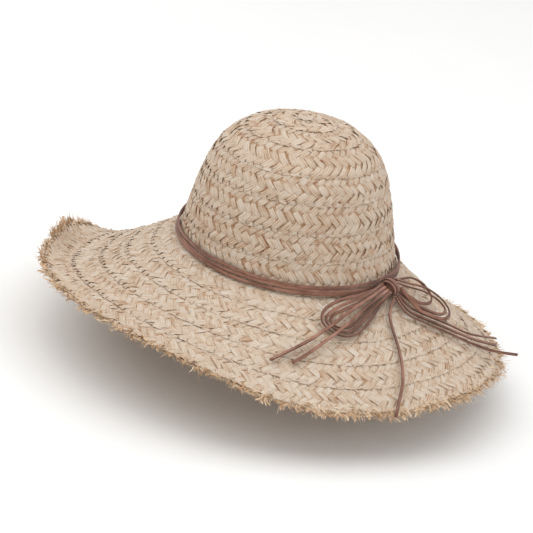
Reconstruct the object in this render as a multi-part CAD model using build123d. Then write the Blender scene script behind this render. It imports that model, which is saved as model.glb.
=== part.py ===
from build123d import *
import os
from math import acos, cos, degrees, pi, radians, sin, sqrt, tan

# Straw sun hat: a crown and a wide floppy brim, sewn from rows of one plaited
# raffia braid, with a frayed edge, a ribbon sweatband inside, and three suede
# laces tied round the crown in one bow.
# Millimetres, +Z up.  The origin is the centre of the head opening, which lies
# in the plane z = 0; the crown stands above it and the brim hangs below it.
# Azimuth 0 is +X, and it grows towards +Y.

# Crown
BASE_RADIUS = 95.0          # outside of the crown at the head opening
WALL = 3.0                  # thickness of the sewn braid
ROW_BULGE = 0.8             # how far the middle of a row stands out
CROWN_LEAN = 4.2            # soft crown, leaning
LEAN_AZIMUTH = 135.0        # the way it leans
# Outside of the crown at its seams, in its own leaning frame: radius, height
CROWN_SEAMS = [
    (90.5, 20.0),
    (85.6, 42.0),
    (79.0, 66.0),
    (69.5, 87.0),
    (50.0, 105.0),
    (27.0, 113.0),
    (0.0, 115.5),
]
CROWN_SLOPE = (BASE_RADIUS - CROWN_SEAMS[0][0]) / CROWN_SEAMS[0][1]
CROWN_SKIRT = 10.0          # the lowest row runs on below the plane and is cut there

# Brim
BRIM_ROWS = 5
BRIM_ROW_WIDTH = 23.2
FRINGE_WIDTH = 10.0
FRINGE_THICKNESS = 2.0
FRINGE_GAP = 0.15           # the frayed ring starts this far outside the last row
BRIM_WIDTH = BRIM_ROWS * BRIM_ROW_WIDTH + FRINGE_WIDTH
MID_BRIM = 80.0             # distance along the brim where the second slope is given
# Slope of the brim in degrees below level, every 20 degrees of azimuth from 0:
# at the crown, at MID_BRIM and at the outer edge.  The brim waves, and its edge
# is turned up near azimuth 180.
BRIM_SLOPES = [
    (36, 27, 26), (39, 34, 21), (42, 42, 10), (45, 47, 24), (45, 49, 42), (45, 48, 50),
    (44, 44, 48), (42, 36, 40), (40, 30, -40), (34, 28, -88), (23, 20, -24), (18, 13, -8),
    (17, 11, -6), (18, 15, 6), (21, 24, 22), (25, 26, 24), (27, 22, 20), (30, 22, 20),
]
KEY_STEP = 360.0 / len(BRIM_SLOPES)
SECTIONS = 36               # radial sections that each brim row is lofted through
STEPS = 63                  # steps of the walk out along the brim

# Sweatband
RIBBON_THICKNESS = 0.8
RIBBON_BOTTOM = 1.0
RIBBON_TOP = 29.0

# Suede laces
LACE_WIDTH = 2.8
LACE_THICKNESS = 1.5
LACE_TUBE = 2.4             # round tube of about the same section as the flat lace
LACE_GAP = 0.2
BAND_BOTTOM = 0.6
BAND_RADIUS = 96.0          # inside of the lowest turn
BAND_TAPER = 0.6            # each higher turn is this much smaller
BAND_SHIFT = 1.6            # the leaning crown's base circle is off centre
LACES = 3

# Knot: a spheroid lying on the brim, its long axis down the slope
KNOT_AZIMUTH = -28.5
KNOT_CENTRE = (92.4, -50.1, 3.5)
KNOT_SLOPE = 27.0
KNOT_HALF_LENGTH = 9.0
KNOT_RADIUS = 6.0

# Routes of the free ends and loops of the laces, from the knot outwards
ROUTES = {
    "left_loop_1": [
        (84.5, -55, 4.5), (73, -77, 4.5), (57, -94.5, 5.5), (45, -107.5, 3),
        (39.5, -115, -2), (40.5, -120, -8.5), (47.5, -123.5, -12.5),
        (58, -125, -15.5), (67, -120, -16), (74, -109.5, -14),
        (81, -93, -9), (85.5, -75.5, -4), (92, -59, 0),
    ],
    "left_loop_2": [
        (85, -56, 7.4), (75.5, -80.5, 6), (62, -97, 5), (51, -110, 2.5),
        (45.5, -115, -1.5), (43, -118.5, -5), (45, -120.5, -8.5),
        (51, -121, -11.5), (59, -120, -13.5), (65.5, -116, -14),
        (71.5, -107, -11.5), (77, -92.5, -7.5), (83, -78, -2.5), (93, -59.5, 3),
    ],
    "left_loop_3": [
        (86.5, -56, 3), (75, -82, 3), (64, -96.5, 1), (55, -106.5, -1.5),
        (49.5, -110.5, -3.5), (47, -114, -6.5), (49, -117.5, -9.5),
        (54, -117.5, -11.5), (60, -115, -12.5), (64.5, -110.5, -11.5),
        (70, -101.5, -9.5), (75.5, -88, -5.5), (81.5, -74, -1), (89, -57.5, 1.5),
    ],
    "left_tail_1": [
        (87.6, -57.8, 5.9), (77, -83, 5.5), (66.5, -100.5, 2), (57, -113.5, -2.5),
        (47, -129, -8), (34.5, -143, -15.5), (19.5, -158, -21.5), (6, -174, -25),
    ],
    "left_tail_2": [
        (90.5, -58, 4), (81, -79, 2.5), (72, -97, -1), (63, -114.5, -7),
        (52.5, -132, -12), (41, -147, -18.5), (33.5, -156, -23), (23.5, -168.5, -26.5),
    ],
    "centre_tail": [
        (97, -57, -3), (94, -74.5, -7.5), (99, -90, -15), (106.5, -107, -22),
        (111.5, -122.5, -28.5), (115, -139.5, -35.5), (114.5, -156, -42),
        (113, -181.5, -48.5),
    ],
    "right_loop_1": [
        (92, -41, 4.5), (105, -16.5, 0.5), (111.5, -11, -1.5), (119.5, -8, -5.5),
        (126, -9.5, -10.5), (130.5, -14.5, -14), (129.5, -26.5, -14.5),
        (123, -35.5, -12.5), (113.5, -40.5, -8.5), (94.5, -42, 2.5),
    ],
    "right_loop_2": [
        (93.5, -41, 8), (106.5, -36, 3.5), (116, -30, 1.5), (126, -25.5, -2.5),
        (135, -22, -8), (142.5, -23, -13.5), (147, -26, -18), (147, -36.5, -19),
        (140.5, -46.5, -18), (128.5, -52.5, -13.5), (116.5, -56, -8.5), (101, -45.5, 3),
    ],
    "right_loop_3": [
        (96, -43, 5.5), (108.5, -37.5, 1), (118.5, -32.5, -1.5),
        (127.5, -30, -5), (135.5, -25.5, -10.5), (142, -26, -15.5),
        (143.5, -30, -17.5), (140, -39.5, -17), (131.5, -45.5, -14),
        (120.5, -48, -10), (111.5, -50.5, -6), (98, -44.5, 0),
    ],
    "right_tail_1": [
        (100.5, -48.5, -2.5), (109.5, -53, -9.5), (121.5, -49.5, -14.5),
        (137.5, -43, -20.5), (152.5, -37, -26.5), (163.5, -34.5, -31),
        (175.5, -25.5, -35.5), (192.5, 0, -46),
    ],
    "right_tail_2": [
        (100, -51.5, -3), (108, -58.5, -10), (121, -55, -15.5), (137, -49, -21.5),
        (151.5, -43, -27.5), (167, -36, -34), (179, -28.5, -39), (193, -13, -46.5),
    ],
    "right_tail_3": [
        (98.5, -54.5, -3), (107.5, -64.5, -11), (120.5, -61, -16), (136.5, -55, -22.5),
        (151, -50, -28), (165, -46.5, -33), (179.5, -44.5, -37), (195, -40.5, -40),
        (210.5, -37.5, -40),
    ],
}


def direction(azimuth):
    """Unit vector in the plane z = 0."""
    return Vector(cos(radians(azimuth)), sin(radians(azimuth)), 0)


def lean(shape):
    """Tilt a piece made round Z onto the crown's leaning axis."""
    tilt_axis = Axis((0, 0, 0), direction(LEAN_AZIMUTH + 90))
    return shape.rotate(tilt_axis, CROWN_LEAN)


def slab(bottom, top):
    """A block wider than the crown, between two heights."""
    side = 3 * BASE_RADIUS
    return Pos(0, 0, (bottom + top) / 2) * Box(side, side, top - bottom)


# ---- crown ----

def crown_outline():
    """Outer and inner points of the crown wall at each seam, base first."""
    skirt = (BASE_RADIUS + CROWN_SLOPE * CROWN_SKIRT, -CROWN_SKIRT)
    outer = [skirt] + CROWN_SEAMS
    inner = []
    for index, (radius, height) in enumerate(outer):
        if index == 0:
            before, after = outer[0], outer[1]
        else:
            before, after = outer[index - 1], outer[min(index + 1, len(outer) - 1)]
        run, rise = after[0] - before[0], after[1] - before[1]
        length = sqrt(run * run + rise * rise)
        inner.append((radius - WALL * rise / length, height + WALL * run / length))
    # the two lowest inner points share one cone, and the centre one stays on the axis
    thickness = WALL * sqrt(1 + CROWN_SLOPE ** 2)
    inner[0] = (skirt[0] - thickness, skirt[1])
    inner[1] = (CROWN_SEAMS[0][0] - thickness, CROWN_SEAMS[0][1])
    inner[-1] = (0.0, CROWN_SEAMS[-1][1] - WALL)
    return outer, inner


def spun(outline_edges):
    """A ring made by spinning a closed outline, drawn in XZ, round Z."""
    face = Face(Wire(outline_edges))
    return Solid.revolve(face, 360, Axis.Z)


def bulged(start, end, amount):
    """An outer edge from start to end that stands out in its middle."""
    run, rise = end[0] - start[0], end[1] - start[1]
    length = sqrt(run * run + rise * rise)
    middle = ((start[0] + end[0]) / 2 + amount * rise / length,
              (start[1] + end[1]) / 2 - amount * run / length)
    return ThreePointArc(in_xz(start), in_xz(middle), in_xz(end))


def in_xz(point):
    return (point[0], 0, point[1])


def crown_rows():
    """The rows of the crown, base first, each a ring, and the tip a disc."""
    outer, inner = crown_outline()
    rows = []
    for index in range(len(outer) - 1):
        low_out, high_out = outer[index], outer[index + 1]
        low_in, high_in = inner[index], inner[index + 1]
        if index == 0 or high_out[0] == 0:
            outside = Line(in_xz(low_out), in_xz(high_out))
        else:
            outside = bulged(low_out, high_out, ROW_BULGE)
        edges = [
            outside,
            Line(in_xz(high_out), in_xz(high_in)),
            Line(in_xz(high_in), in_xz(low_in)),
            Line(in_xz(low_in), in_xz(low_out)),
        ]
        rows.append(lean(spun(edges)))
    rows[0] = rows[0] & slab(0, 60)
    return rows


def sweatband():
    """A ribbon ring against the inside of the crown's two lowest rows."""
    inner = crown_outline()[1][:3]
    face_in = [(radius - RIBBON_THICKNESS, height) for radius, height in inner]
    points = [in_xz(p) for p in inner + face_in[::-1]]
    edges = [Line(a, b) for a, b in zip(points, points[1:] + points[:1])]
    return lean(spun(edges)) & slab(RIBBON_BOTTOM, RIBBON_TOP)


# ---- brim ----

def slope_at(azimuth, column):
    """A slope between the given azimuths, by a smooth cubic."""
    position = (azimuth % 360) / KEY_STEP
    index = int(position)
    f = position - index
    count = len(BRIM_SLOPES)
    p0, p1, p2, p3 = (BRIM_SLOPES[(index + k) % count][column] for k in (-1, 0, 1, 2))
    return (p1 + 0.5 * f * (p2 - p0)
            + f * f * (p0 - 2.5 * p1 + 2 * p2 - 0.5 * p3)
            + f ** 3 * (1.5 * (p1 - p2) + 0.5 * (p3 - p0)))


def slope_along(distance, slopes):
    """Slope in degrees at a distance out from the crown."""
    at_crown, at_middle, at_edge = slopes
    if distance < MID_BRIM:
        return at_crown + (at_middle - at_crown) * distance / MID_BRIM
    outer_part = (distance - MID_BRIM) / (BRIM_WIDTH - MID_BRIM)
    return at_middle + (at_edge - at_middle) * outer_part


def base_radius(azimuth, radius):
    """Where a leaning cone of the crown, of this radius, meets the plane z = 0."""
    s = sin(radians(CROWN_LEAN)) * cos(radians(azimuth - LEAN_AZIMUTH))
    return radius / (sqrt(1 - s * s) + CROWN_SLOPE * s)


class BrimLine:
    """The brim's upper surface along one azimuth: (radius, height) by distance."""

    def __init__(self, azimuth):
        self.azimuth = azimuth
        self.slopes = [slope_at(azimuth, column) for column in range(3)]
        self.step = BRIM_WIDTH / STEPS
        self.points = [(base_radius(azimuth, BASE_RADIUS), 0.0)]
        for index in range(STEPS):
            angle = radians(slope_along((index + 0.5) * self.step, self.slopes))
            radius, height = self.points[-1]
            self.points.append((radius + self.step * cos(angle),
                                height - self.step * sin(angle)))

    def at(self, distance, lift=0.0):
        """A point on the surface, or lifted off it along its normal."""
        position = min(distance / self.step, STEPS - 1e-9)
        index = int(position)
        f = position - index
        (r0, z0), (r1, z1) = self.points[index], self.points[index + 1]
        angle = radians(slope_along(distance, self.slopes))
        radius = r0 + f * (r1 - r0) + lift * sin(angle)
        height = z0 + f * (z1 - z0) + lift * cos(angle)
        return self.place(radius, height)

    def place(self, radius, height):
        return direction(self.azimuth) * radius + Vector(0, 0, height)


def strip_section(line, start, end, top, bottom, bulge):
    """Closed outline of one row in the radial plane."""
    middle = (start + end) / 2
    upper = Spline(line.at(start, top), line.at(middle, top + bulge), line.at(end, top))
    lower = Spline(line.at(end, bottom), line.at(middle, bottom), line.at(start, bottom))
    return Wire([upper, Line(upper @ 1, lower @ 0), lower, Line(lower @ 1, upper @ 0)])


def first_section(line, end):
    """The row at the crown also has a ledge, level, that the crown is sewn to."""
    thickness = WALL * sqrt(1 + CROWN_SLOPE ** 2)
    inner_radius = base_radius(line.azimuth, BASE_RADIUS - thickness)
    ledge_in = line.place(inner_radius, 0)
    under = line.place(inner_radius + 0.4 * WALL, -WALL)
    upper = Spline(line.at(0), line.at(end / 2, ROW_BULGE), line.at(end))
    lower = Spline(line.at(end, -WALL), line.at(end / 2, -WALL), under)
    return Wire([
        upper,
        Line(upper @ 1, lower @ 0),
        lower,
        Line(under, ledge_in),
        Line(ledge_in, upper @ 0),
    ])


def ring_through(sections):
    """A closed ring lofted through radial sections, in two halves."""
    half = len(sections) // 2
    first = Solid.make_loft(sections[: half + 1])
    second = Solid.make_loft(sections[half:] + sections[:1])
    return first + second


def brim_rows(lines):
    rows = []
    for index in range(BRIM_ROWS):
        start, end = index * BRIM_ROW_WIDTH, (index + 1) * BRIM_ROW_WIDTH
        if index == 0:
            sections = [first_section(line, end) for line in lines]
        else:
            sections = [strip_section(line, start, end, 0, -WALL, ROW_BULGE) for line in lines]
        rows.append(ring_through(sections))
    return rows


def brim_fringe(lines):
    """The frayed edge, as one thin soft ring."""
    margin = (WALL - FRINGE_THICKNESS) / 2
    start = BRIM_ROWS * BRIM_ROW_WIDTH + FRINGE_GAP
    return ring_through([
        strip_section(line, start, BRIM_WIDTH, -margin, margin - WALL, 0) for line in lines
    ])


# ---- laces ----

def band_turn(index):
    """One lace round the foot of the crown."""
    inner = BAND_RADIUS - BAND_TAPER * index
    bottom = BAND_BOTTOM + index * (LACE_WIDTH + LACE_GAP)
    ring = Cylinder(inner + LACE_THICKNESS, LACE_WIDTH) - Cylinder(inner, LACE_WIDTH)
    centre = direction(LEAN_AZIMUTH + 180) * BAND_SHIFT
    return Pos(centre.X, centre.Y, bottom + LACE_WIDTH / 2) * ring


def knot():
    """The knot, drawn tight over the three turns of the band, which press into it."""
    arc = EllipticalCenterArc((0, 0), KNOT_RADIUS, KNOT_HALF_LENGTH, -90, arc_size=180)
    half = Face(Wire([arc, Line(arc @ 1, arc @ 0)]))
    spheroid = Solid.revolve(half, 360, Axis.Y)
    outwards = direction(KNOT_AZIMUTH)
    slope = radians(KNOT_SLOPE)
    down_slope = outwards * cos(slope) - Vector(0, 0, sin(slope))
    sideways = direction(KNOT_AZIMUTH + 90)
    place = Plane(origin=KNOT_CENTRE, x_dir=sideways, z_dir=sideways.cross(down_slope))
    return place.location * spheroid


def arc_radii(points):
    """The radius of each bend: as large as its two runs allow."""
    radii = []
    for before, here, after in zip(points, points[1:], points[2:]):
        run_in, run_out = Vector(*here) - Vector(*before), Vector(*after) - Vector(*here)
        turn = radians(run_in.get_angle(run_out))
        radii.append(0.45 * min(run_in.length, run_out.length) / tan(turn / 2))
    return radii


def lace(name):
    """A loop or a tail of a lace: straight runs joined by tangent arcs."""
    points = ROUTES[name]
    radii = arc_radii(points)
    path = FilletPolyline(*points, radius=radii)
    start = Plane(origin=path @ 0, z_dir=path % 0)
    tube = sweep(start * Circle(LACE_TUBE / 2), path=path)
    expected = pi * LACE_TUBE ** 2 / 4 * path.length
    print(f"{name}: length {path.length:.1f}, smallest bend {min(radii):.1f},"
          f" volume / (section x length) {tube.volume / expected:.4f}")
    return tube


def hat_pieces():
    """Every piece of the hat by its name."""
    pieces = {}
    crown = crown_rows()
    for number, row in enumerate(crown[:4], start=1):
        pieces[f"crown_side_row_{number}"] = row
    pieces["crown_tip_row_1"] = crown[4]
    pieces["crown_tip_row_2"] = crown[5]
    pieces["crown_tip_centre"] = crown[6]
    lines = [BrimLine(360.0 * index / SECTIONS) for index in range(SECTIONS)]
    for number, row in enumerate(brim_rows(lines), start=1):
        pieces[f"brim_row_{number}"] = row
    pieces["brim_fringe"] = brim_fringe(lines)
    pieces["sweatband"] = sweatband()
    for index in range(LACES):
        pieces[f"hatband_lace_{index + 1}"] = band_turn(index)
    pieces["bow_knot"] = knot()
    for name in ROUTES:
        pieces[name] = lace(name)
    return pieces


os.makedirs("parts", exist_ok=True)
for name, shape in hat_pieces().items():
    export_step(shape, f"parts/{name}.step")
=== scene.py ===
"""Straw sun hat: plaited raffia rows, frayed edge, ribbon sweatband and a suede bow.

The pieces are made in the CAD frame.  Shapes are worked out in millimetres and
turned into metres when a mesh is made.
"""
from math import cos, pi, radians, sin, tan

import bpy
import numpy as np
from mathutils import Matrix, Vector


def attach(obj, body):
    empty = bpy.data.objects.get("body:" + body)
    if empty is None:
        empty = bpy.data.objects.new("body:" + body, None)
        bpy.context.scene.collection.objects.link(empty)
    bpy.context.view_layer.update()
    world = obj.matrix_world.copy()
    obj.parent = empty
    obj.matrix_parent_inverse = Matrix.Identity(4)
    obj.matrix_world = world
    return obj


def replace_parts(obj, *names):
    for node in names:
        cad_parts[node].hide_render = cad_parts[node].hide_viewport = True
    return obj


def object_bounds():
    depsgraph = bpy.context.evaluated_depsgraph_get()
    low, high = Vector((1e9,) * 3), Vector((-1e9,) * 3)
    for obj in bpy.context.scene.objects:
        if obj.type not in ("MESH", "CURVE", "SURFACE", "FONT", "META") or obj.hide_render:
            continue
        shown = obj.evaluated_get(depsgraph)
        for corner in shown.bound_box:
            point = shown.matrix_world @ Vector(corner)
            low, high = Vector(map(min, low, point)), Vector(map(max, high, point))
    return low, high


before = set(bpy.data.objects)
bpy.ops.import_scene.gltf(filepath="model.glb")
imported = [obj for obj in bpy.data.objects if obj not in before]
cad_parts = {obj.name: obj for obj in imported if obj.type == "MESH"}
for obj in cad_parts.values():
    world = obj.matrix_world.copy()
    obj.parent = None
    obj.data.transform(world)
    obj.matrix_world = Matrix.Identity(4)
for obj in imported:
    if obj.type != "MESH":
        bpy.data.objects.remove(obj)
CAD_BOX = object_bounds()
MM = 0.001
random = np.random.default_rng(11)

# Crown: outside of the seams in its own leaning frame, base first (radius, height)
BASE_RADIUS = 95.0
TIP_CENTRE = 6              # the seam inside which the tip's middle lies
CROWN_SEAMS = np.array([
    (95.0, 0.0), (90.5, 20.0), (85.6, 42.0), (79.0, 66.0), (69.5, 87.0),
    (50.0, 105.0), (27.0, 113.0), (0.0, 115.5), (-27.0, 113.0),
])
CROWN_SLOPE = 0.225
CROWN_LEAN = 4.2
LEAN_AZIMUTH = 135.0
ROW_BULGE = 0.8
WALL = 3.0

# Brim: its slope below level at the crown, in the middle and at the edge, every 20 degrees
BRIM_SLOPES = np.array([
    (36, 27, 26), (39, 34, 21), (42, 42, 10), (45, 47, 24), (45, 49, 42), (45, 48, 50),
    (44, 44, 48), (42, 36, 40), (40, 30, -40), (34, 28, -88), (23, 20, -24), (18, 13, -8),
    (17, 11, -6), (18, 15, 6), (21, 24, 22), (25, 26, 24), (27, 22, 20), (30, 22, 20),
], dtype=float)
BRIM_ROWS = 5
BRIM_ROW_WIDTH = 23.2
BRIM_EDGE = BRIM_ROWS * BRIM_ROW_WIDTH
BRIM_WIDTH = BRIM_EDGE + 10.0
BRIM_SPREAD = 0.93          # how much wider the radius gets for each millimetre out along it
MID_BRIM = 80.0             # distance out at which the second slope holds
STEPS = 63

# Plait: strands of flattened raffia, over and under one another
STRAND_PITCH = 7.4          # along the row, from one strand to the next of the same way
STRAND_WIDTH = 5.8
CROSSED = 3.5               # strands of pitch that one strand runs along while it crosses
FOLD_MARGIN = 0.6           # a strand's middle turns back this far inside the row's edge
WEAVE_HEIGHT = 0.50         # how far a strand's middle rises and dips
STRAND_CROWN = 0.50         # how far its middle stands above its sides
# The crown's looser, more open plait has a darker backing: more painted shade between its strands.
CROWN_LOOK = {"relief": 1.35, "shade": 0.27, "middle_tone": 0.52}     # looser, more open
ROW_TILT = 0.35             # the edge nearer the tip dips, the other lies on the next row

# Frayed edge
TUFTS = 260                 # clumps of loose ends round the edge
LONGEST_FRAY = 2.5          # no loose end reaches further than this past the brim's width

# Suede lace
LACE_WIDTH = 2.8
LACE_THICKNESS = 1.5
BAND_BOTTOM = 0.6
BAND_RADIUS = 96.0
BAND_TAPER = 0.6            # each turn is this much tighter than the one below
BAND_SHIFT = 1.6            # how far the band sits off the crown's centre
BAND_STEP = 3.0             # from one turn up to the next
KNOT_AZIMUTH = -28.5
KNOT_CENTRE = np.array((92.4, -50.1, 3.5))
KNOT_SLOPE = 27.0
KNOT_HALF_LENGTH = 9.0
KNOT_RADIUS = 6.0

# Each free lace: body, what its end is, turn of its flat side at start and end, and route
ROUTES = {
    "left_loop_1": ("left_loops", "object", 20, 60, [
        (84.5, -55, 4.5), (73, -77, 4.5), (57, -94.5, 5.5), (45, -107.5, 3),
        (39.5, -115, -2), (40.5, -120, -8.5), (47.5, -123.5, -12.5),
        (58, -125, -15.5), (67, -120, -16), (74, -109.5, -14),
        (81, -93, -9), (85.5, -75.5, -4), (92, -59, 0),
    ]),
    "left_loop_2": ("left_loops", "object", 40, 10, [
        (85, -56, 7.4), (75.5, -80.5, 6), (62, -97, 5), (51, -110, 2.5),
        (45.5, -115, -1.5), (43, -118.5, -5), (45, -120.5, -8.5),
        (51, -121, -11.5), (59, -120, -13.5), (65.5, -116, -14),
        (71.5, -107, -11.5), (77, -92.5, -7.5), (83, -78, -2.5), (93, -59.5, 3),
    ]),
    "left_loop_3": ("left_loops", "object", 0, 50, [
        (86.5, -56, 3), (75, -82, 3), (64, -96.5, 1), (55, -106.5, -1.5),
        (49.5, -110.5, -3.5), (47, -114, -6.5), (49, -117.5, -9.5),
        (54, -117.5, -11.5), (60, -115, -12.5), (64.5, -110.5, -11.5),
        (70, -101.5, -9.5), (75.5, -88, -5.5), (81.5, -74, -1), (89, -57.5, 1.5),
    ]),
    "left_tail_1": ("left_tails", "bare", 10, -25, [
        (87.6, -57.8, 5.9), (77, -83, 5.5), (66.5, -100.5, 2), (57, -113.5, -2.5),
        (47, -129, -8), (34.5, -143, -15.5), (19.5, -158, -21.5), (6, -174, -25),
    ]),
    "left_tail_2": ("left_tails", "bare", -10, 20, [
        (90.5, -58, 4), (81, -79, 2.5), (72, -97, -1), (63, -114.5, -7),
        (52.5, -132, -12), (41, -147, -18.5), (33.5, -156, -23), (23.5, -168.5, -26.5),
    ]),
    "centre_tail": ("centre_tail", "bare", 15, 5, [
        (97, -57, -3), (94, -74.5, -7.5), (99, -90, -15), (106.5, -107, -22),
        (111.5, -122.5, -28.5), (115, -139.5, -35.5), (114.5, -156, -42),
        (113, -181.5, -48.5),
    ]),
    "right_loop_1": ("right_bow_half", "object", 30, 60, [
        (92, -41, 4.5), (105, -16.5, 0.5), (111.5, -11, -1.5), (119.5, -8, -5.5),
        (126, -9.5, -10.5), (130.5, -14.5, -14), (129.5, -26.5, -14.5),
        (123, -35.5, -12.5), (113.5, -40.5, -8.5), (94.5, -42, 2.5),
    ]),
    "right_loop_2": ("right_bow_half", "object", 10, 50, [
        (93.5, -41, 8), (106.5, -36, 3.5), (116, -30, 1.5), (126, -25.5, -2.5),
        (135, -22, -8), (142.5, -23, -13.5), (147, -26, -18), (147, -36.5, -19),
        (140.5, -46.5, -18), (128.5, -52.5, -13.5), (116.5, -56, -8.5), (101, -45.5, 3),
    ]),
    "right_loop_3": ("right_bow_half", "object", 40, 10, [
        (96, -43, 5.5), (108.5, -37.5, 1), (118.5, -32.5, -1.5),
        (127.5, -30, -5), (135.5, -25.5, -10.5), (142, -26, -15.5),
        (143.5, -30, -17.5), (140, -39.5, -17), (131.5, -45.5, -14),
        (120.5, -48, -10), (111.5, -50.5, -6), (98, -44.5, 0),
    ]),
    "right_tail_1": ("right_bow_half", "bare", 0, 20, [
        (100.5, -48.5, -2.5), (109.5, -53, -9.5), (121.5, -49.5, -14.5),
        (137.5, -43, -20.5), (152.5, -37, -26.5), (163.5, -34.5, -31),
        (175.5, -25.5, -35.5), (192.5, 0, -46),
    ]),
    "right_tail_2": ("right_bow_half", "bare", 10, -15, [
        (100, -51.5, -3), (108, -58.5, -10), (121, -55, -15.5), (137, -49, -21.5),
        (151.5, -43, -27.5), (167, -36, -34), (179, -28.5, -39), (193, -13, -46.5),
    ]),
    "right_tail_3": ("right_bow_half", "bare", 20, 75, [
        (98.5, -54.5, -3), (107.5, -64.5, -11), (120.5, -61, -16), (136.5, -55, -22.5),
        (151, -50, -28), (165, -46.5, -33), (179.5, -44.5, -37), (195, -40.5, -40),
        (210.5, -37.5, -40),
    ]),
}


# ---- camera, floor and light ----

def make_camera():
    """Long lens, looking down on the hat from in front, rolled so its right side is low."""
    data = bpy.data.cameras.new("camera")
    data.sensor_width = 36.0
    data.lens = 173.9
    data.shift_x = -0.0375
    data.shift_y = -0.0403
    data.clip_end = 50.0
    camera = bpy.data.objects.new("camera", data)
    elevation = radians(23.4)
    place = Vector((0, -cos(elevation), sin(elevation))) * 2.2
    aim = (-place).to_track_quat("-Z", "Y").to_matrix().to_4x4()
    roll = Matrix.Rotation(radians(11.65), 4, "Z")
    camera.matrix_world = Matrix.Translation(place) @ aim @ roll
    bpy.context.scene.collection.objects.link(camera)
    bpy.context.scene.camera = camera


def area_light(name, place, size, power, colour=(1, 1, 1)):
    """A square soft light aimed at the hat."""
    data = bpy.data.lights.new(name, "AREA")
    data.shape = "SQUARE"
    data.size = size
    data.energy = power
    data.color = colour
    lamp = bpy.data.objects.new(name, data)
    lamp.location = place
    lamp.rotation_euler = (-Vector(place)).to_track_quat("-Z", "Y").to_euler()
    bpy.context.scene.collection.objects.link(lamp)


def make_studio():
    """Near-white floor, white surroundings and three soft lights."""
    scene = bpy.context.scene
    scene.view_settings.view_transform = "Standard"
    world = bpy.data.worlds.new("studio")
    world.use_nodes = True
    background = world.node_tree.nodes["Background"]
    background.inputs["Color"].default_value = (1.0, 0.995, 0.985, 1)
    background.inputs["Strength"].default_value = 0.66
    scene.world = world
    area_light("key", (-1.2, -0.3, 1.8), 2.0, 20)
    area_light("top", (0.5, 0.1, 2.0), 2.2, 16)
    area_light("fill", (1.4, -1.6, 0.9), 1.5, 6)
    low = CAD_BOX[0][2] - 0.0006
    mesh = bpy.data.meshes.new("floor")
    corners = [(-8, -8, low), (8, -8, low), (8, 8, low), (-8, 8, low)]
    mesh.from_pydata(corners, [], [(0, 1, 2, 3)])
    floor = bpy.data.objects.new("floor", mesh)
    mesh.materials.append(floor_material())
    scene.collection.objects.link(floor)


# ---- materials ----

class Nodes:
    """A material's node tree, built one node at a time."""

    def __init__(self, name):
        self.material = bpy.data.materials.new(name)
        self.material.use_nodes = True
        self.tree = self.material.node_tree
        self.shader = self.tree.nodes["Principled BSDF"]

    def add(self, kind, inputs=None, **settings):
        """A node; inputs are numbers, or another node's output socket."""
        node = self.tree.nodes.new("ShaderNode" + kind)
        for key, value in settings.items():
            setattr(node, key, value)
        for key, value in (inputs or {}).items():
            self.put(node.inputs[key], value)
        return node

    def put(self, socket, value):
        """Links another node's output to a socket, or sets the socket to a number or colour."""
        if isinstance(value, bpy.types.NodeSocket):
            self.tree.links.new(value, socket)
        else:
            socket.default_value = value

    def attribute(self, name, output="Fac"):
        return self.add("Attribute", attribute_name=name).outputs[output]

    def maths(self, operation, first, second):
        return self.add("Math", {0: first, 1: second}, operation=operation).outputs[0]

    def noise(self, vector, scale, detail=3.0, roughness=0.55):
        return self.add("TexNoise", {
            "Vector": vector, "Scale": scale, "Detail": detail, "Roughness": roughness,
        }).outputs["Fac"]

    def stretched(self, vector, factors):
        return self.add("VectorMath", {0: vector, 1: factors}, operation="MULTIPLY").outputs[0]

    def ramp(self, value, stops):
        node = self.add("ValToRGB", {"Fac": value})
        elements = node.color_ramp.elements
        while len(elements) < len(stops):
            elements.new(0.5)
        for element, (position, colour) in zip(elements, stops):
            element.position = position
            element.color = (*colour, 1)
        return node.outputs["Color"]

    def spread(self, value, low, high):
        """A value from 0 to 1, moved to run from low to high."""
        return self.add("MapRange", {"Value": value, "To Min": low, "To Max": high}).outputs[0]

    def bump(self, height, strength, distance, normal=None):
        inputs = {"Height": height, "Strength": strength, "Distance": distance}
        if normal is not None:
            inputs["Normal"] = normal
        return self.add("Bump", inputs).outputs["Normal"]

    def finish(self, **sockets):
        for key, value in sockets.items():
            self.put(self.shader.inputs[key.replace("_", " ")], value)
        return self.material


def floor_material():
    nodes = Nodes("studio_floor")
    where = nodes.add("TexCoord").outputs["Object"]
    grain = nodes.noise(where, 3.0)
    colour = nodes.ramp(grain, [(0.3, (0.90, 0.90, 0.895)), (0.7, (0.93, 0.93, 0.925))])
    return nodes.finish(Base_Color=colour, Roughness=0.9, Specular_IOR_Level=0.1)


def raffia_material(name, stops, gain):
    """Dried palm leaf: streaks along each strand, tone from strand to strand with painted light and
    shade added in, split fibres.
    """
    nodes = Nodes(name)
    fibre = nodes.attribute("fibre", "Vector")
    tone = nodes.attribute("tone")
    streaks = nodes.noise(nodes.stretched(fibre, (0.05, 1.15, 31.0)), 1.0, 4.0, 0.65)
    patches = nodes.noise(nodes.stretched(fibre, (0.10, 0.16, 17.0)), 1.0, 2.0)
    wrinkles = nodes.noise(nodes.stretched(fibre, (0.22, 0.9, 23.0)), 1.0, 3.0)
    streak_part = nodes.maths("MULTIPLY", nodes.maths("SUBTRACT", streaks, 0.5), gain)
    patch_part = nodes.maths("MULTIPLY", nodes.maths("SUBTRACT", patches, 0.5), 0.5 * gain)
    value = nodes.maths("ADD", tone, nodes.maths("ADD", streak_part, patch_part))
    colour = nodes.ramp(value, stops)
    height = nodes.maths("ADD", nodes.maths("MULTIPLY", streaks, 1.8),
                         nodes.maths("MULTIPLY", wrinkles, 1.2))
    return nodes.finish(
        Base_Color=colour,
        Roughness=nodes.spread(streaks, 0.42, 0.78),
        Specular_IOR_Level=0.35,
        Normal=nodes.bump(height, 0.9, 0.0008),
    )


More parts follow.
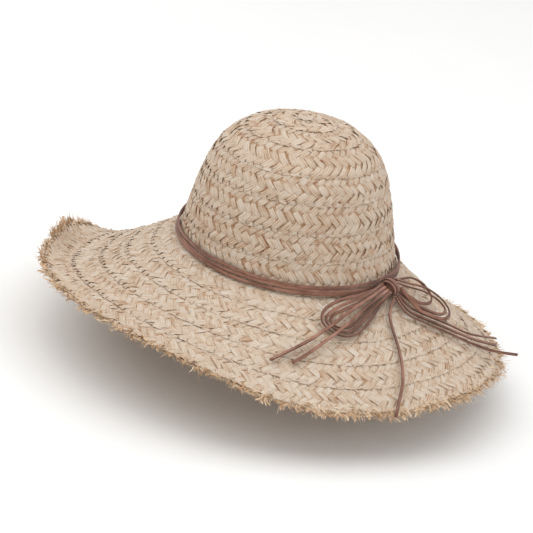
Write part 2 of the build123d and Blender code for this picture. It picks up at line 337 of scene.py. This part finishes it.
def suede_material():
    """Brushed suede: soft nap, mottled, paler where it is rubbed."""
    nodes = Nodes("suede_lace")
    fibre = nodes.attribute("fibre", "Vector")
    tone = nodes.attribute("tone")
    nap = nodes.noise(nodes.stretched(fibre, (1.6, 3.5, 13.0)), 1.0, 4.0, 0.7)
    mottle = nodes.noise(nodes.stretched(fibre, (0.11, 0.35, 7.0)), 1.0, 3.0)
    mixed = nodes.maths("ADD", nodes.maths("MULTIPLY", nap, 0.55), nodes.maths("MULTIPLY", mottle, 0.75))
    value = nodes.maths("ADD", nodes.maths("SUBTRACT", mixed, 0.65), tone)
    colour = nodes.ramp(value, [
        (0.10, (0.060, 0.026, 0.018)),
        (0.45, (0.195, 0.092, 0.060)),
        (0.62, (0.305, 0.148, 0.105)),
        (0.95, (0.430, 0.250, 0.180)),
    ])
    return nodes.finish(
        Base_Color=colour,
        Roughness=nodes.spread(nap, 0.8, 1.0),
        Specular_IOR_Level=0.2,
        Sheen_Weight=0.25,
        Sheen_Roughness=0.5,
        Normal=nodes.bump(nap, 0.6, 0.0003),
    )


def ribbon_material():
    """Grosgrain: fine ribs across the ribbon."""
    nodes = Nodes("grosgrain_ribbon")
    fibre = nodes.attribute("fibre", "Vector")
    ribs = nodes.add("TexWave", {
        "Vector": fibre, "Scale": 0.32, "Distortion": 0.4, "Detail": 1.0,
    }, bands_direction="X").outputs["Fac"]
    threads = nodes.noise(nodes.stretched(fibre, (3.0, 5.0, 1.0)), 1.0, 3.0)
    mixed = nodes.maths("ADD", nodes.maths("MULTIPLY", ribs, 0.5), nodes.maths("MULTIPLY", threads, 0.5))
    colour = nodes.ramp(mixed, [
        (0.15, (0.300, 0.215, 0.140)),
        (0.55, (0.500, 0.390, 0.280)),
        (0.90, (0.640, 0.530, 0.400)),
    ])
    return nodes.finish(
        Base_Color=colour,
        Roughness=nodes.spread(threads, 0.55, 0.8),
        Specular_IOR_Level=0.35,
        Normal=nodes.bump(mixed, 0.7, 0.0004),
    )


BRAID_STOPS = [
    (0.02, (0.250, 0.115, 0.055)),
    (0.22, (0.430, 0.240, 0.130)),
    (0.38, (0.570, 0.410, 0.285)),
    (0.56, (0.660, 0.530, 0.410)),
    (0.78, (0.710, 0.610, 0.505)),
    (0.98, (0.780, 0.710, 0.630)),
]
FRINGE_STOPS = [
    (0.02, (0.230, 0.095, 0.035)),
    (0.25, (0.450, 0.235, 0.105)),
    (0.50, (0.650, 0.430, 0.250)),
    (0.72, (0.740, 0.550, 0.370)),
    (0.98, (0.810, 0.680, 0.520)),
]


# ---- surfaces of the hat, in millimetres ----

def lean_matrix():
    """The turn that leans the crown."""
    axis = radians(LEAN_AZIMUTH + 90)
    return np.array(Matrix.Rotation(radians(CROWN_LEAN), 3, Vector((cos(axis), sin(axis), 0))))


LEAN = lean_matrix()


def smooth_between(p0, p1, p2, p3, f):
    """A smooth curve (Catmull-Rom) from p1 to p2, a share f of the way; p0 and p3 are beyond."""
    return (p1 + 0.5 * f * (p2 - p0) + f ** 2 * (p0 - 2.5 * p1 + 2 * p2 - 0.5 * p3)
            + f ** 3 * (1.5 * (p1 - p2) + 0.5 * (p3 - p0)))


def crown_profile(azimuth, along):
    """Radius, height and outward normal of the crown; along counts rows up from the base."""
    base_height = BASE_RADIUS * tan(radians(CROWN_LEAN)) * np.cos(np.radians(azimuth - LEAN_AZIMUTH))
    low = np.clip(along, -0.2, 1.0)
    cone_height = base_height + (CROWN_SEAMS[1][1] - base_height) * low
    cone_radius = BASE_RADIUS - CROWN_SLOPE * cone_height
    high = np.clip(along, 1.0, 6.999)
    index = high.astype(int)
    f = (high - index)[..., None]
    p0, p1, p2, p3 = (CROWN_SEAMS[np.clip(index + k, 0, 8)] for k in (-1, 0, 1, 2))
    point = smooth_between(p0, p1, p2, p3, f)
    slope = (0.5 * (p2 - p0) + 2 * f * (p0 - 2.5 * p1 + 2 * p2 - 0.5 * p3)
             + 3 * f ** 2 * (1.5 * (p1 - p2) + 0.5 * (p3 - p0)))
    slope = slope / np.linalg.norm(slope, axis=-1, keepdims=True)
    on_cone = along < 1.0
    cone_length = np.sqrt(1 + CROWN_SLOPE ** 2)
    radius = np.where(on_cone, cone_radius, point[..., 0])
    height = np.where(on_cone, cone_height, point[..., 1])
    normal_r = np.where(on_cone, 1 / cone_length, slope[..., 1])
    normal_z = np.where(on_cone, CROWN_SLOPE / cone_length, -slope[..., 0])
    return radius, height, normal_r, normal_z


def crown_points(azimuth, along, lift):
    """Points off the crown's outside, by azimuth, row and lift."""
    radius, height, normal_r, normal_z = crown_profile(azimuth, along)
    within = along - np.floor(along)
    bulge = np.where(along < 1, 0, 2 * ROW_BULGE * within * (1 - within))
    radius = radius + (lift + bulge) * normal_r
    height = height + (lift + bulge) * normal_z
    angle = np.radians(azimuth)
    points = np.stack([radius * np.cos(angle), radius * np.sin(angle), height], axis=-1)
    return points @ LEAN.T


def smooth_slopes():
    """The three slopes for each whole degree of azimuth, in radians."""
    position = np.arange(361) % 360 / (360 / len(BRIM_SLOPES))
    index = position.astype(int)
    f = (position - index)[:, None]
    count = len(BRIM_SLOPES)
    p0, p1, p2, p3 = (BRIM_SLOPES[(index + k) % count] for k in (-1, 0, 1, 2))
    return np.radians(smooth_between(p0, p1, p2, p3, f))


def slope_along(distance, slopes):
    """Slope at a distance out from the crown, for every azimuth."""
    inner = slopes[:, 0] + (slopes[:, 1] - slopes[:, 0]) * distance / MID_BRIM
    share = (distance - MID_BRIM) / (BRIM_WIDTH - MID_BRIM)
    outer = slopes[:, 1] + (slopes[:, 2] - slopes[:, 1]) * share
    return inner if distance < MID_BRIM else outer


def brim_tables():
    """Radius, height and slope of the brim's upper surface: one line per degree, by step."""
    slopes = smooth_slopes()
    azimuth = np.arange(361)
    s = sin(radians(CROWN_LEAN)) * np.cos(np.radians(azimuth - LEAN_AZIMUTH))
    step = BRIM_WIDTH / STEPS
    radii = [BASE_RADIUS / (np.sqrt(1 - s * s) + CROWN_SLOPE * s)]
    heights = [np.zeros(361)]
    for index in range(STEPS):
        angle = slope_along((index + 0.5) * step, slopes)
        radii.append(radii[-1] + step * np.cos(angle))
        heights.append(heights[-1] - step * np.sin(angle))
    angles = [slope_along(index * step, slopes) for index in range(STEPS + 1)]
    return [np.stack(table, axis=1) for table in (radii, heights, angles)]


BRIM_TABLES = brim_tables()


def brim_points(azimuth, distance, lift):
    """Points off the brim's top, by azimuth, distance from the crown and lift."""
    degree = azimuth % 360
    i = degree.astype(int)
    f = degree - i
    inside = np.clip(distance, 0, BRIM_WIDTH - 1e-6)
    position = inside / (BRIM_WIDTH / STEPS)
    j = position.astype(int)
    g = position - j

    def read(table):
        return ((1 - f) * (1 - g) * table[i, j] + f * (1 - g) * table[i + 1, j]
                + (1 - f) * g * table[i, j + 1] + f * g * table[i + 1, j + 1])

    radius, height, slope = (read(table) for table in BRIM_TABLES)
    beyond = distance - inside
    radius = radius + beyond * np.cos(slope) + lift * np.sin(slope)
    height = height - beyond * np.sin(slope) + lift * np.cos(slope)
    angle = np.radians(azimuth)
    return np.stack([radius * np.cos(angle), radius * np.sin(angle), height], axis=-1)


# ---- meshes ----

class Shape:
    """Points, faces and per-point values gathered from several grids."""

    def __init__(self):
        self.points, self.quads, self.fibre, self.tone = [], [], [], []
        self.total = 0

    def add_grid(self, points, fibre, tone, closed_row=False, closed_column=False):
        """Grids of points (grid, row, column, 3), joined into quads along rows and columns."""
        grids, rows, columns = points.shape[:3]
        index = np.arange(grids * rows * columns).reshape(grids, rows, columns) + self.total
        if closed_row:
            index = np.concatenate([index, index[:, :1]], axis=1)
        if closed_column:
            index = np.concatenate([index, index[:, :, :1]], axis=2)
        quads = np.stack([index[:, :-1, :-1], index[:, :-1, 1:],
                          index[:, 1:, 1:], index[:, 1:, :-1]], axis=-1)
        self.quads.append(quads.reshape(-1, 4))
        self.points.append(points.reshape(-1, 3))
        self.fibre.append(np.broadcast_to(fibre, points.shape).reshape(-1, 3))
        self.tone.append(np.broadcast_to(tone, points.shape[:3]).reshape(-1))
        self.total += grids * rows * columns

    def piece(self, name, material, slot, body="hat"):
        """One object made of everything gathered, riding on a body."""
        mesh = bpy.data.meshes.new(name)
        points = np.concatenate(self.points) * MM
        quads = np.concatenate(self.quads)
        mesh.from_pydata(points.tolist(), [], quads.tolist())
        mesh.attributes.new("fibre", "FLOAT_VECTOR", "POINT").data.foreach_set(
            "vector", np.concatenate(self.fibre).astype(np.float32).ravel())
        mesh.attributes.new("tone", "FLOAT", "POINT").data.foreach_set(
            "value", np.concatenate(self.tone).astype(np.float32))
        mesh.polygons.foreach_set("use_smooth", [True] * len(mesh.polygons))
        mesh.materials.append(material)
        piece = bpy.data.objects.new(name, mesh)
        bpy.context.scene.collection.objects.link(piece)
        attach(piece, body)
        return piece


def wander(count, samples, size, knots=5):
    """Smooth random curves: one for each strand, sampled along it."""
    rough = random.normal(0, size, (count, knots))
    where = np.linspace(0, knots - 1, samples)
    index = np.minimum(where.astype(int), knots - 2)
    f = where - index
    f = f * f * (3 - 2 * f)
    return rough[:, index] * (1 - f) + rough[:, index + 1] * f


def fold_back(tau):
    """How far across its row a strand is, from 0 to 1: it turns back at both edges."""
    pull = 0.84
    return 0.5 + 0.5 * np.arcsin(pull * np.sin(pi * (tau - 0.5))) / np.arcsin(pull)


def narrowed(tau):
    """How wide a strand is along its way, against its full width: it is pinched where it folds."""
    from_fold = np.minimum(np.abs(tau), np.abs(1 - tau))
    return 1 - 0.55 * np.clip(1 - from_fold / 0.17, 0, 1) ** 1.5


def braid(surface, width, girth, relief=1.0, shade=0.38, middle_tone=0.57):
    """One row of plait.  surface(along, across, lift) gives points; along runs from 0 to 1."""
    shape = Shape()
    count = max(8, round(girth / STRAND_PITCH))
    pitch = girth / count
    samples = 27
    tau = np.linspace(-0.07, 1.07, samples)
    across_row = FOLD_MARGIN + (width - 2 * FOLD_MARGIN) * fold_back(tau)
    sides = np.array([-1.0, -0.62, -0.3, 0.05, 0.35, 0.66, 1.0])
    domed = STRAND_CROWN * np.array([0.0, 0.95, 0.50, 1.05, 0.60, 0.90, 0.0]) - 0.2
    # Painted light and shade across a strand, following its ridges: lighter on the ridges, darker in the
    # furrows, darkest at the edges.
    painted_relief_shading = np.array([-0.28, 0.04, -0.12, 0.05, -0.11, 0.04, -0.28])
    for way in (1, -1):
        number = np.arange(count)[:, None]
        along = (number + way * CROSSED * tau) * pitch + wander(count, samples, 0.72)
        across = across_row + wander(count, samples, 0.45)
        run = np.gradient(along, axis=1)
        rise = np.gradient(across, axis=1)
        length = np.hypot(run, rise)
        half = 0.5 * STRAND_WIDTH * random.uniform(0.86, 1.12, (count, 1))
        half = half * (1 + wander(count, samples, 0.10)) * narrowed(tau)
        offset = half[:, :, None] * sides
        u = along[:, :, None] - (rise / length)[:, :, None] * offset
        v = across[:, :, None] + (run / length)[:, :, None] * offset
        phase = 0.3 + wander(count, samples, 0.26)
        over = np.tanh(1.9 * np.cos(pi * CROSSED * (tau - 0.5) + phase) * way) / np.tanh(1.9)
        lift = over * relief * WEAVE_HEIGHT + wander(count, samples, 0.13)
        twist = wander(count, samples, 0.22)[:, :, None] * sides
        ruck = random.normal(0, 0.13, (count, samples, len(sides)))
        lift = lift[:, :, None] + over[:, :, None] * domed + twist + ruck
        lift = lift + ROW_TILT * (2 * v / width - 1)
        points = surface(u / girth, v, lift - WALL / 2)
        travelled = np.cumsum(length, axis=1)[:, :, None] + random.uniform(0, 900, (count, 1, 1))
        seed = np.broadcast_to(random.uniform(0, 60, (count, 1, 1)), u.shape)
        fibre = np.stack([np.broadcast_to(travelled, u.shape),
                          np.broadcast_to(offset, u.shape), seed], axis=-1)
        tone = np.clip(random.normal(middle_tone, 0.06, (count, 1, 1)), 0.3, 0.8)
        # Painted light and shade: lighter on the ridges and where a strand passes over, darker in its
        # furrows, at its edges and where it dips under.
        tone = tone + painted_relief_shading + 0.04 * over[:, :, None]
        shape.add_grid(points, fibre, tone)
    # The backing's tone, shade, is painted shade seen in the gaps between strands.
    add_backing(shape, surface, width, count, shade)
    return shape


def add_backing(shape, surface, width, count, shade):
    """A sheet behind the strands, coloured dark as painted shade: the shaded inside of the plait, seen
    between its strands.
    """
    around = np.linspace(0, 1, 3 * count, endpoint=False)[None, :, None]
    v = np.linspace(-0.3, width + 0.3, 7)[None, None, :]
    grid = np.broadcast_to(around, (1, 3 * count, 7)), np.broadcast_to(v, (1, 3 * count, 7))
    points = surface(grid[0], grid[1], np.full(grid[0].shape, -WALL / 2))
    fibre = np.stack([grid[0] * 900, grid[1], grid[0] * 3], axis=-1)
    shape.add_grid(points, fibre, shade, closed_row=True)


def crown_surface(row, width):
    """Where row number `row` of the crown lies; its `across` runs down from the tip's side."""
    def surface(along, across, lift):
        return crown_points(along * 360, row + 1 - across / width, lift)
    return surface


def brim_surface(start):
    """Where the row that begins at a distance from the crown lies; `across` runs outwards."""
    def surface(along, across, lift):
        return brim_points(along * 360, start + across, lift)
    return surface


def make_crown(material):
    """Six rows of plait, then the middle of the tip: a ring of plait round crossed strands."""
    names = [f"crown_side_row_{number}" for number in range(1, 5)]
    names += ["crown_tip_row_1", "crown_tip_row_2"]
    for row, name in enumerate(names):
        low, high = CROWN_SEAMS[row], CROWN_SEAMS[row + 1]
        width = float(np.hypot(*(high - low)))
        girth = pi * (low[0] + high[0])
        shape = braid(crown_surface(row, width), width, girth, **CROWN_LOOK)
        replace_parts(shape.piece(name + "_braid", material, "raffia_braid"), name)
    centre = CROWN_SEAMS[TIP_CENTRE][0]
    hole = 3.5

    def disc(along, across, lift):
        return crown_points(along * 360, TIP_CENTRE + 1 - (across + hole) / centre, lift)

    shape = braid(disc, centre - hole, 2 * pi * 0.62 * centre, **CROWN_LOOK)
    add_button(shape)
    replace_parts(shape.piece("crown_tip_centre_braid", material, "raffia_braid"), "crown_tip_centre")


def add_button(shape):
    """Crossed strands over the middle of the tip, where the plait starts."""
    centre = CROWN_SEAMS[TIP_CENTRE][0]
    reach = 6.5
    t = np.linspace(-1, 1, 15)
    sides = np.array([-1.0, -0.5, 0.0, 0.5, 1.0])
    for way in (0, 1):
        for lane in (-1, 0, 1):
            line = t[:, None] * reach + 0 * sides
            side = lane * 3.9 + sides * 1.9 + 0 * t[:, None]
            wave = 0.55 * np.cos(t[:, None] * 1.67 * pi + pi * (lane + way))
            lift = wave + 0.4 * (1 - sides ** 2) - 0.6
            x, y = (line, side) if way == 0 else (side, line)
            radius = np.hypot(x, y)
            azimuth = np.degrees(np.arctan2(y, x))
            points = crown_points(azimuth, TIP_CENTRE + 1 - radius / centre, lift)
            fibre = np.stack([line, sides * 1.9 + 0 * line, 0 * line + lane + 4 * way], axis=-1)
            shape.add_grid(points[None], fibre[None], 0.6 + 0.06 * lane)


def make_brim(material):
    """Five rows of plait out from the crown."""
    for row in range(BRIM_ROWS):
        start = row * BRIM_ROW_WIDTH
        girth = 2 * pi * (BASE_RADIUS + BRIM_SPREAD * (start + BRIM_ROW_WIDTH / 2))
        shape = braid(brim_surface(start), BRIM_ROW_WIDTH, girth)
        name = f"brim_row_{row + 1}"
        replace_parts(shape.piece(name + "_braid", material, "raffia_braid"), name)


def add_frays(shape, count, start, length, width, curl, tone):
    """Loose ends of raffia off the brim's edge; pairs of numbers are lowest and highest."""
    samples = 9
    t = np.linspace(0, 1, samples)
    step = random.uniform(*length, (count, 1)) / (samples - 1)
    tufts = np.random.default_rng(5)
    tuft = random.integers(0, TUFTS, (count, 1))
    tuft_turn = tufts.normal(0, 26, TUFTS)[tuft]
    tuft_rise = tufts.normal(0, 1.3, TUFTS)[tuft]
    tuft_reach = tufts.uniform(0.65, 1.25, TUFTS)[tuft]
    azimuth = tuft * (360 / TUFTS) + random.normal(0, 0.60, (count, 1))
    step = step * tuft_reach
    heading = np.radians(tuft_turn + random.normal(0, 26, (count, 1))
                         + random.normal(0, 55, (count, 1)) * t)
    out = random.uniform(*start, (count, 1)) + np.cumsum(step * np.cos(heading), axis=1)
    aside = np.cumsum(step * np.sin(heading), axis=1)
    rise = random.uniform(*curl, (count, 1)) + tuft_rise
    lift = -WALL / 2 + random.uniform(-0.8, 0.8, (count, 1)) + rise * t ** 2
    half = 0.5 * random.uniform(*width, (count, 1)) * (1 - 0.65 * t)
    turn = random.uniform(-0.6, 0.6, (count, 1)) * t * 2
    edge = BASE_RADIUS + BRIM_SPREAD * BRIM_EDGE
    sides = []
    for side in (-1, 1):
        a = azimuth + np.degrees((aside + side * half * np.cos(heading)) / edge)
        d = out - side * half * np.sin(heading)
        d = np.minimum(d, BRIM_WIDTH + LONGEST_FRAY)
        sides.append(brim_points(a, d, lift + side * half * turn))
    points = np.stack(sides, axis=2)
    travelled = np.broadcast_to((step * np.arange(samples))[:, :, None], points.shape[:3])
    half_side = half[:, :, None] * np.array([-1.0, 1.0])
    seed = np.broadcast_to(random.uniform(0, 90, (count, 1, 1)), points.shape[:3])
    fibre = np.stack([travelled, half_side, seed], axis=-1)
    shade = np.clip(random.normal(tone, 0.17, (count, 1, 1)), 0.05, 0.95)
    shade = shade - 0.12 * t[None, :, None]
    shape.add_grid(points, fibre, shade)


def make_fringe(material):
    """The unpicked edge: split ends of strands, finer fibres, and a few curls."""
    shape = Shape()
    add_frays(shape, 1700, (110, 116), (4, 10), (1.8, 4.0), (-1.5, 1.5), 0.77)
    add_frays(shape, 3400, (112, 117), (4, 10), (0.5, 1.4), (-2.5, 3.0), 0.72)
    add_frays(shape, 2400, (113, 119), (4, 10), (0.25, 0.6), (-4.0, 4.5), 0.66)
    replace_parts(shape.piece("brim_fringe_frayed", material, "raffia_fringe"), "brim_fringe")


def thread(shape, starts, ends, radius, tone):
    """Short straight stitches, one from each start to its end."""
    count = len(starts)
    ring = np.linspace(0, 2 * pi, 6, endpoint=False)
    along = ends - starts
    length = np.linalg.norm(along, axis=1, keepdims=True)
    along = along / length
    side = np.cross(along, (0.31, 0.22, 0.93))
    side = side / np.linalg.norm(side, axis=1, keepdims=True)
    up = np.cross(side, along)
    t = np.array([0.0, 0.12, 0.5, 0.88, 1.0])
    thick = radius * np.array([0.35, 0.9, 1.1, 0.9, 0.35])
    centre = starts[:, None] + along[:, None] * (length * t)[:, :, None]
    round_it = side[:, None] * np.cos(ring)[:, None] + up[:, None] * np.sin(ring)[:, None]
    points = centre[:, :, None] + thick[None, :, None, None] * round_it[:, None]
    fibre = np.zeros(points.shape) + np.arange(count)[:, None, None, None]
    shape.add_grid(points, fibre, tone, closed_column=True)


def make_seams(material):
    """The thread that sews each row to the next: a short stitch every few millimetres."""
    shape = Shape()
    for row in range(1, BRIM_ROWS):
        radius = BASE_RADIUS + BRIM_SPREAD * row * BRIM_ROW_WIDTH
        add_stitches(shape, 2 * pi * radius, brim_surface(row * BRIM_ROW_WIDTH))
    for row in range(1, TIP_CENTRE):
        add_stitches(shape, 2 * pi * CROWN_SEAMS[row][0], crown_surface(row - 1, 20.0))
    shape.piece("seam_stitches", material, "raffia_braid")


def add_stitches(shape, girth, surface):
    """Stitches across one seam, a little sunk between the rows."""
    count = round(girth / 7.5)
    along = (np.arange(count) + random.uniform(-0.15, 0.15, count)) / count
    first = random.uniform(-1.2, -0.5, count)
    sunk = np.full(count, -0.80)
    starts = surface(along, first, sunk)
    ends = surface(along + 1.5 / girth, -first, sunk)
    thread(shape, starts, ends, 0.25, 0.62)


def make_sweatband(material, thread_material):
    """Ribbon sewn inside the foot of the crown, with a line of stitches along each edge."""
    shape = Shape()
    around = np.linspace(0, 360, 540, endpoint=False)[None, :, None]
    rows = np.linspace(0.06, 1.40, 20)[None, None, :]
    azimuth = np.broadcast_to(around, (1, 540, 20))
    along = np.broadcast_to(rows, (1, 540, 20))
    angle = np.radians(azimuth)
    ripple = 0.12 * np.sin(angle * 23) + 0.08 * np.sin(angle * 41 + along * 3)
    points = crown_points(azimuth, along, -WALL - 0.75 + ripple)
    fibre = np.stack([angle * 90, along * 21, 0 * along], axis=-1)
    shape.add_grid(points, fibre, 0.5, closed_row=True)
    ribbon = shape.piece("sweatband_ribbon", material, "grosgrain_ribbon")
    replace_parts(ribbon, "sweatband")
    sewing = Shape()
    for height in (0.14, 1.30):
        start = np.arange(0, 360, 2.4)
        level = np.full(len(start), height)
        depth = np.full(len(start), -WALL - 1.0)
        thread(sewing, crown_points(start, level, depth),
               crown_points(start + 1.5, level, depth), 0.22, 0.7)
    stitches = sewing.piece("sweatband_stitches", thread_material, "grosgrain_ribbon")


# ---- laces ----

def lace_section():
    """Outline of the flat lace, its corners rounded: width, thickness."""
    corners = np.linspace(0, 2 * pi, 16, endpoint=False)
    wide = np.sign(np.cos(corners)) * np.abs(np.cos(corners)) ** 0.45
    thick = np.sign(np.sin(corners)) * np.abs(np.sin(corners)) ** 0.6
    return wide * LACE_WIDTH / 2, thick * LACE_THICKNESS / 2


def add_lace(shape, centre, flat_normal, closed=False, scale=1.0):
    """A flat lace along points, with the normal of its flat side at each."""
    if closed:
        tangent = np.roll(centre, -1, axis=0) - np.roll(centre, 1, axis=0)
    else:
        tangent = np.gradient(centre, axis=0)
    gaps = np.linalg.norm(np.gradient(centre, axis=0), axis=1)
    tangent = tangent / np.linalg.norm(tangent, axis=1, keepdims=True)
    side = np.cross(flat_normal, tangent)
    side = side / np.linalg.norm(side, axis=1, keepdims=True)
    up = np.cross(tangent, side)
    wide, thick = lace_section()
    count = len(centre)
    swell = scale * (1 + 0.05 * wander(1, count, 1.0, max(5, count // 12))[0])[:, None, None]
    points = (centre[:, None] + side[:, None] * wide[None, :, None] * swell
              + up[:, None] * thick[None, :, None] * swell)
    travelled = np.cumsum(gaps)[:, None]
    fibre = np.stack([np.broadcast_to(travelled, points.shape[:2]),
                      np.broadcast_to(wide + 2 * thick, points.shape[:2]),
                      np.full(points.shape[:2], random.uniform(0, 50))], axis=-1)
    edge = np.abs(wide) / (LACE_WIDTH / 2)
    # Painted shade: each lace darkens towards its edges.
    tone = 0.56 - 0.26 * edge ** 6 + 0.08 * wander(1, count, 1.0, max(5, count // 10))[0][:, None]
    shape.add_grid(points[None], fibre[None], tone[None], closed_row=closed, closed_column=True)
    if not closed:
        close_ends(shape, points, count)


def close_ends(shape, points, count):
    """Cut ends of a lace, each a fan of quads."""
    around = points.shape[1]
    first = shape.total - count * around
    last = shape.total - around
    for start in (first, last):
        quads = [(start + k, start + k + 1, start + around - 2 - k, start + around - 1 - k)
                 for k in range(around // 2 - 1)]
        shape.quads.append(np.array(quads))


def route_points(name, route):
    """Points read from the smooth NURBS spline through a route, in millimetres."""
    curve = bpy.data.curves.new(name + "_route", "CURVE")
    curve.dimensions = "3D"
    curve.resolution_u = 10
    spline = curve.splines.new("NURBS")
    spline.points.add(len(route) - 1)
    for point, place in zip(spline.points, route):
        point.co = (*[value * MM for value in place], 1)
    spline.order_u = 3
    spline.use_endpoint_u = True
    holder = bpy.data.objects.new(name + "_route", curve)
    bpy.context.scene.collection.objects.link(holder)
    line = bpy.data.meshes.new_from_object(holder)
    points = np.array([vertex.co for vertex in line.vertices]) / MM
    bpy.data.objects.remove(holder)
    bpy.data.curves.remove(curve)
    bpy.data.meshes.remove(line)
    return points


def brim_normals(points):
    """The upward normal of the brim near each point, taken as a plain cone."""
    slope = radians(25)
    flat = points * (1, 1, 0)
    outwards = flat / np.linalg.norm(flat, axis=1, keepdims=True)
    return outwards * sin(slope) + np.array((0, 0, cos(slope)))


def turned(normals, points, degrees):
    """Normals turned about the line through the points."""
    tangent = np.gradient(points, axis=0)
    tangent = tangent / np.linalg.norm(tangent, axis=1, keepdims=True)
    side = np.cross(normals, tangent)
    side = side / np.linalg.norm(side, axis=1, keepdims=True)
    up = np.cross(tangent, side)
    angle = np.radians(degrees)[:, None]
    return up * np.cos(angle) + side * np.sin(angle)


def make_free_laces(material):
    """Loops and tails of the bow, each a lace riding on its body."""
    for name, (body, far_end, turn_start, turn_end, route) in ROUTES.items():
        points = route_points(name, route)
        turn = np.linspace(turn_start, turn_end, len(points))
        shape = Shape()
        add_lace(shape, points, turned(brim_normals(points), points, turn))
        piece = shape.piece(name + "_lace", material, "suede_lace", body)
        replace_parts(piece, name)


def make_band(material):
    """Three turns of lace round the foot of the crown, a little slack."""
    azimuth = np.linspace(0, 360, 300, endpoint=False)
    angle = np.radians(azimuth)
    shift = -BAND_SHIFT * np.array((cos(radians(LEAN_AZIMUTH)), sin(radians(LEAN_AZIMUTH))))
    for index in range(3):
        phase = 2.1 * index
        slack = 0.5 + 0.5 * np.cos(angle - radians(KNOT_AZIMUTH) + pi)
        radius = BAND_RADIUS - BAND_TAPER * index + LACE_THICKNESS / 2
        radius = radius + slack * (0.12 + 0.12 * np.sin(3 * angle + phase))
        height = BAND_BOTTOM + BAND_STEP * index + LACE_WIDTH / 2
        height = height + 0.45 * np.sin(4 * angle + phase)
        centre = np.stack([radius * np.cos(angle) + shift[0],
                           radius * np.sin(angle) + shift[1], height], axis=1)
        tip = np.radians(8 + 12 * slack * np.sin(2 * angle + phase))
        normal = np.stack([np.cos(angle) * np.cos(tip), np.sin(angle) * np.cos(tip),
                           np.sin(tip)], axis=1)
        shape = Shape()
        add_lace(shape, centre, normal, closed=True)
        name = f"hatband_lace_{index + 1}"
        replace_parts(shape.piece(name + "_turn", material, "suede_lace", "hatband"), name)


def make_knot(material):
    """Laces wound over the band and drawn tight, round a core of the same lace."""
    outwards = np.array((cos(radians(KNOT_AZIMUTH)), sin(radians(KNOT_AZIMUTH)), 0))
    slope = radians(KNOT_SLOPE)
    down = outwards * cos(slope) - np.array((0, 0, sin(slope)))
    up = outwards * sin(slope) + np.array((0, 0, cos(slope)))
    side = np.cross(up, down)
    shape = Shape()
    angle = np.linspace(0, 2 * pi, 72, endpoint=False)
    for lane, skew, size in ((-3.1, 0.10, 0.80), (0.0, -0.06, 0.95), (3.1, 0.05, 0.80)):
        long_axis = down * cos(skew) + side * sin(skew)
        across = np.cross(up, long_axis)
        reach = (KNOT_HALF_LENGTH - 0.8) * size
        depth = (KNOT_RADIUS - 0.6) * size
        centre = (KNOT_CENTRE + across * lane + long_axis * (reach * np.cos(angle))[:, None]
                  + up * (depth * np.sin(angle))[:, None])
        normal = (long_axis * (np.cos(angle) / reach)[:, None]
                  + up * (np.sin(angle) / depth)[:, None])
        add_lace(shape, centre, normal, closed=True)
    add_core(shape, down, up, side)
    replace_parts(shape.piece("bow_knot_wraps", material, "suede_lace", "hatband"), "bow_knot")


def add_core(shape, down, up, side):
    """A flattened ball that fills the wraps, coloured darker than them as painted shade."""
    polar = np.linspace(0.05, pi - 0.05, 14)[:, None, None]
    turn = np.linspace(0, 2 * pi, 22, endpoint=False)[None, :, None]
    ball = (down * np.cos(polar) * (KNOT_HALF_LENGTH - 1.6)
            + (up * np.cos(turn) + side * np.sin(turn)) * np.sin(polar) * (KNOT_RADIUS - 1.3))
    points = (KNOT_CENTRE + ball)[None]
    shape.add_grid(points, points, 0.35, closed_column=True)


make_camera()
suede = suede_material()
make_free_laces(suede)
raffia = raffia_material("raffia_braid", BRAID_STOPS, 1.15)
make_crown(raffia)
make_brim(raffia)
make_seams(raffia_material("seam_thread", BRAID_STOPS, 0.3))
make_fringe(raffia_material("raffia_fringe", FRINGE_STOPS, 0.8))
make_sweatband(ribbon_material(), raffia_material("sweatband_thread", BRAID_STOPS, 0.2))
make_band(suede)
make_knot(suede)
make_studio()
